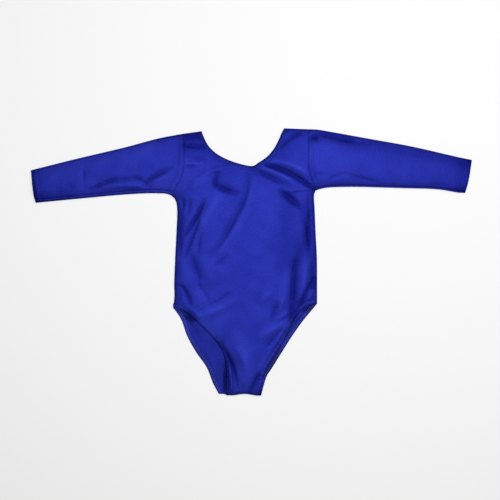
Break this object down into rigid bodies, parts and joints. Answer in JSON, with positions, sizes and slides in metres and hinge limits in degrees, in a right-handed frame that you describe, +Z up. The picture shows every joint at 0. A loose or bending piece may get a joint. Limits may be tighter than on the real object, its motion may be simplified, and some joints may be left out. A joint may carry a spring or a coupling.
{
  "type": "gymnastics leotard",
  "caption": "Child's plain gymnastics leotard with three-quarter sleeves, wide scoop neck and elastic leg hems, laid out flat with its front up.",
  "frame": {"origin": "under the middle of the laid-out outline, on the surface that the back panel lies on", "axes": "+X to the right as the front is seen, +Y from the crotch towards the neck, +Z up from the surface through the front; left and right in the node names are as the front is seen"},
  "size_m": [0.7492, 0.454, 0.0083],
  "materials": {
    "knit": "royal-blue nylon and elastane knit with a soft shine"
  },
  "bodies": {
    "root": {"front_panel": "knit", "back_panel": "knit", "sleeve_left": "knit", "sleeve_right": "knit", "neck_hem_front": "knit", "neck_hem_back": "knit", "cuff_hem_left": "knit", "cuff_hem_right": "knit", "leg_hem_front_left": "knit", "leg_hem_front_right": "knit", "leg_hem_back_left": "knit", "leg_hem_back_right": "knit"}
  },
  "joints": []
}
